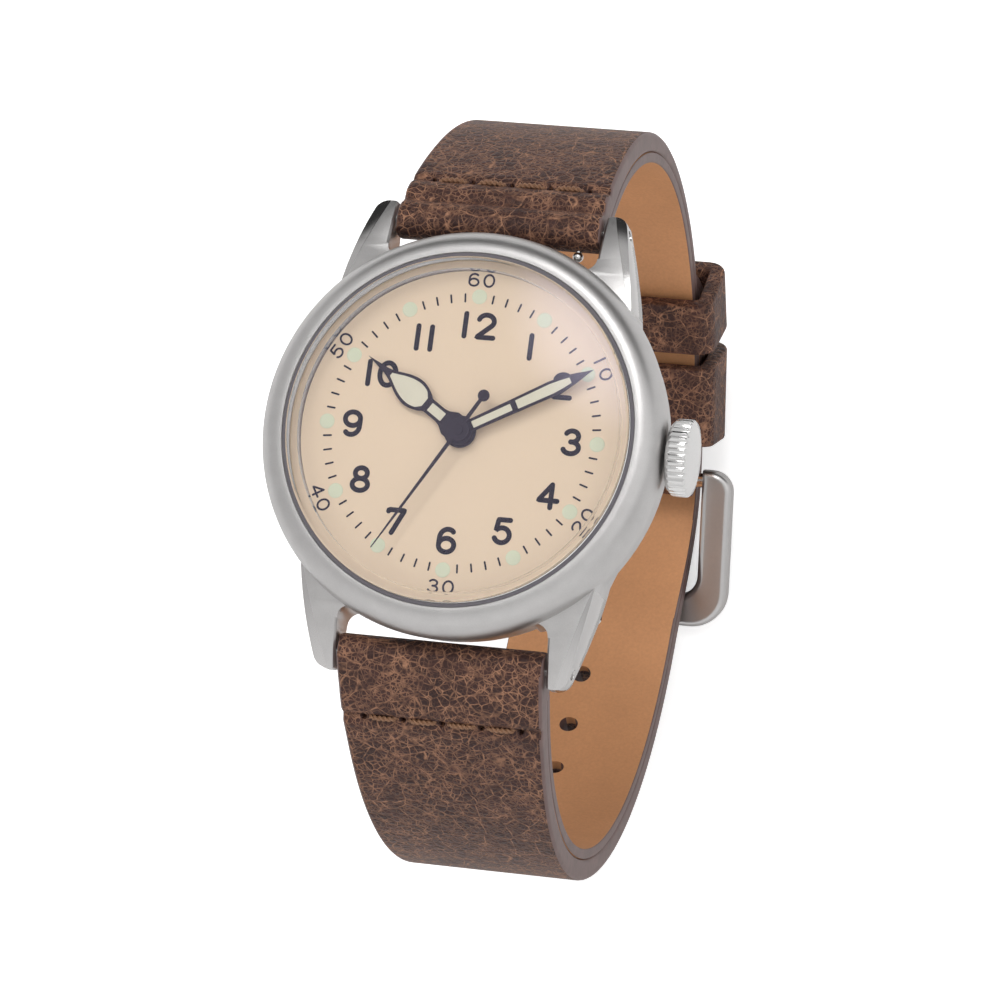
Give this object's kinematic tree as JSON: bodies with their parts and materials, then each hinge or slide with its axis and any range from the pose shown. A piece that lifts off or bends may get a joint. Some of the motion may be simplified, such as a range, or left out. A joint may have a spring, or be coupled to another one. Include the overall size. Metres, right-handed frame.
{
  "type": "field watch",
  "caption": "Hand-wound field watch with a round steel case, domed crystal, numeral dial and a buckled leather strap closed in a loop.",
  "frame": {"origin": "centre of the case back's outer face", "axes": "+Z out of the dial, +Y to 12 o'clock, +X to the crown; the closed strap hangs towards -Z"},
  "size_m": [0.0406, 0.0726, 0.0727],
  "materials": {
    "case_steel": "bead-blasted steel with polished lug bevels",
    "polished_steel": "satin to polished steel",
    "crystal_clear": "clear domed crystal",
    "seal_rubber": "black seal",
    "seal_nylon": "grey nylon seal",
    "dial_cream": "matt cream dial",
    "holder_plastic": "white plastic",
    "plate_nickel": "nickelled and striped",
    "jewel_ruby": "polished ruby",
    "blued_screw": "blued steel",
    "movement_steel": "polished movement steel",
    "train_brass": "gilt brass",
    "hand_dark": "near-black lacquer",
    "lume": "pale green luminous paint",
    "strap_brown": "dark brown pull-up leather, crackled",
    "strap_lining": "natural tan lining leather",
    "thread": "waxed brown thread"
  },
  "bodies": {
    "root": {"mid_case": "case_steel", "bezel": "case_steel", "crystal": "crystal_clear", "crystal_gasket": "seal_nylon", "dial": "dial_cream", "movement_holder": "holder_plastic", "case_back": "case_steel", "case_back_gasket": "seal_rubber", "crown_tube": "polished_steel", "main_plate": "plate_nickel", "barrel_bridge": "plate_nickel", "train_bridge": "plate_nickel", "balance_cock": "plate_nickel", "pallet_bridge": "plate_nickel", "jewels": "jewel_ruby", "bridge_screws": "blued_screw", "hairspring": "movement_steel", "works_springs": "movement_steel", "works_pins": "movement_steel", "upper_strap_leather": "strap_brown", "lower_strap_leather": "strap_brown", "strap_linings": "strap_lining", "strap_stitching": "thread", "spring_bar_tubes": "polished_steel", "spring_bar_springs": "movement_steel", "fixed_keeper": "strap_brown"},
    "centre_arbor": {"centre_wheel": "train_brass", "cannon_pinion": "movement_steel", "minute_hand": "hand_dark", "minute_hand_lume": "lume"},
    "hour_pipe": {"hour_wheel": "train_brass", "hour_hand": "hand_dark", "hour_hand_lume": "lume"},
    "minute_works": {"minute_wheel": "train_brass"},
    "setting_works": {"setting_wheel": "movement_steel"},
    "barrel": {"mainspring_barrel": "train_brass", "mainspring": "movement_steel"},
    "third_arbor": {"third_wheel": "train_brass"},
    "seconds_arbor": {"fourth_wheel": "train_brass", "seconds_hand": "hand_dark"},
    "escape_arbor": {"escape_wheel": "train_brass"},
    "pallet": {"pallet_fork": "movement_steel"},
    "balance": {"balance_wheel": "train_brass"},
    "winding_turn": {"winding_pinion": "movement_steel"},
    "crown_stem": {"crown": "polished_steel", "crown_gasket": "seal_rubber", "winding_stem": "polished_steel"},
    "clutch": {"sliding_pinion": "movement_steel"},
    "crown_wheel_body": {"crown_wheel": "movement_steel"},
    "ratchet": {"ratchet_wheel": "movement_steel", "barrel_arbor": "movement_steel"},
    "click_body": {"click": "movement_steel"},
    "setting_lever_body": {"setting_lever": "movement_steel"},
    "yoke_body": {"yoke": "movement_steel"},
    "upper_release": {"upper_release_pin": "polished_steel"},
    "lower_release": {"lower_release_pin": "polished_steel"},
    "buckle": {"buckle_frame": "polished_steel", "buckle_pin": "polished_steel"},
    "tongue": {"buckle_tongue": "polished_steel"},
    "keeper_slider": {"sliding_keeper": "strap_brown"}
  },
  "joints": [
    {"name": "minute_hand_turn", "type": "hinge", "parent": "root", "child": "centre_arbor", "pos_m": [0, 0, 0.006], "axis": [0, 0, -1], "continuous": true},
    {"name": "hour_hand_turn", "type": "hinge", "parent": "root", "child": "hour_pipe", "pos_m": [0, 0, 0.0065], "axis": [0, 0, -1], "continuous": true},
    {"name": "minute_wheel_turn", "type": "hinge", "parent": "root", "child": "minute_works", "pos_m": [0.00247, -0.00294, 0.0063], "axis": [0, 0, -1], "continuous": true},
    {"name": "setting_wheel_turn", "type": "hinge", "parent": "root", "child": "setting_works", "pos_m": [0.0062, -0.00151, 0.0063], "axis": [0, 0, -1], "continuous": true},
    {"name": "barrel_turn", "type": "hinge", "parent": "root", "child": "barrel", "pos_m": [0.00315, 0.00546, 0.0042], "axis": [0, 0, -1], "continuous": true},
    {"name": "third_wheel_turn", "type": "hinge", "parent": "root", "child": "third_arbor", "pos_m": [0.00121, -0.0045, 0.003], "axis": [0, 0, -1], "continuous": true},
    {"name": "seconds_hand_turn", "type": "hinge", "parent": "root", "child": "seconds_arbor", "pos_m": [0, 0, 0.0027], "axis": [0, 0, -1], "continuous": true},
    {"name": "escape_wheel_turn", "type": "hinge", "parent": "root", "child": "escape_arbor", "pos_m": [-0.00354, -0.00297, 0.004], "axis": [0, 0, -1], "continuous": true},
    {"name": "pallet_fork_swing", "type": "hinge", "parent": "root", "child": "pallet", "pos_m": [-0.00545, -0.00458, 0.004], "axis": [0, 0, -1], "range_deg": [-4.8, 4.8]},
    {"name": "balance_swing", "type": "hinge", "parent": "root", "child": "balance", "pos_m": [-0.00791, -0.00663, 0.0033], "axis": [0, 0, -1], "range_deg": [-150, 150]},
    {"name": "crown_turn", "type": "hinge", "parent": "root", "child": "winding_turn", "pos_m": [0.01, 0, 0.00505], "axis": [1, 0, 0], "continuous": true},
    {"name": "crown_pull", "type": "slide", "parent": "winding_turn", "child": "crown_stem", "axis": [1, 0, 0], "range_m": [0, 0.0008]},
    {"name": "sliding_pinion_slide", "type": "slide", "parent": "winding_turn", "child": "clutch", "axis": [1, 0, 0], "range_m": [-0.0006, 0]},
    {"name": "crown_wheel_turn", "type": "hinge", "parent": "root", "child": "crown_wheel_body", "pos_m": [0.0074, 0, 0.003], "axis": [0, 0, 1], "continuous": true},
    {"name": "ratchet_wheel_turn", "type": "hinge", "parent": "root", "child": "ratchet", "pos_m": [0.00315, 0.00546, 0.003], "axis": [0, 0, 1], "continuous": true},
    {"name": "click_swing", "type": "hinge", "parent": "root", "child": "click_body", "pos_m": [-0.00215, 0.00852, 0.003], "axis": [0, 0, 1], "range_deg": [0, 8], "stiffness_Nm_per_rad": 0.00002},
    {"name": "setting_lever_swing", "type": "hinge", "parent": "root", "child": "setting_lever_body", "pos_m": [0.0112, -0.0029, 0.0062], "axis": [0, 0, -1], "range_deg": [0, 19.48]},
    {"name": "yoke_swing", "type": "hinge", "parent": "root", "child": "yoke_body", "pos_m": [0.0082, -0.0042, 0.0062], "axis": [0, 0, 1], "range_deg": [0, 10.65]},
    {"name": "upper_release_slide", "type": "slide", "parent": "root", "child": "upper_release", "axis": [-1, 0, 0], "range_m": [0, 0.0014], "stiffness_N_per_m": 400, "springref_m": -0.0005},
    {"name": "lower_release_slide", "type": "slide", "parent": "root", "child": "lower_release", "axis": [-1, 0, 0], "range_m": [0, 0.0014], "stiffness_N_per_m": 400, "springref_m": -0.0005},
    {"name": "buckle_swing", "type": "hinge", "parent": "root", "child": "buckle", "pos_m": [0, 0.009, -0.05504], "axis": [1, 0, 0], "range_deg": [0, 8]},
    {"name": "tongue_swing", "type": "hinge", "parent": "buckle", "child": "tongue", "pos_m": [0, 0.009, -0.05504], "axis": [1, 0, 0], "range_deg": [0, 6]},
    {"name": "keeper_slide", "type": "slide", "parent": "root", "child": "keeper_slider", "axis": [0, 0.7342, 0.6789], "range_m": [-0.0012, 0.0012]}
  ],
  "couplings": [
    {"joint": "minute_hand_turn", "follows": "seconds_hand_turn", "ratio": 0.016667},
    {"joint": "hour_hand_turn", "follows": "seconds_hand_turn", "ratio": 0.0013889},
    {"joint": "minute_wheel_turn", "follows": "seconds_hand_turn", "ratio": -0.0055556},
    {"joint": "setting_wheel_turn", "follows": "seconds_hand_turn", "ratio": 0.014286},
    {"joint": "barrel_turn", "follows": "seconds_hand_turn", "ratio": -0.0027778},
    {"joint": "third_wheel_turn", "follows": "seconds_hand_turn", "ratio": -0.13333},
    {"joint": "escape_wheel_turn", "follows": "seconds_hand_turn", "ratio": -10},
    {"joint": "crown_wheel_turn", "follows": "crown_turn", "ratio": 0.66667},
    {"joint": "ratchet_wheel_turn", "follows": "crown_turn", "ratio": -0.42857},
    {"joint": "sliding_pinion_slide", "follows": "crown_pull", "ratio": -0.75},
    {"joint": "setting_lever_swing", "follows": "crown_pull", "rad_per_m": 424.8},
    {"joint": "yoke_swing", "follows": "crown_pull", "rad_per_m": 232.1}
  ]
}
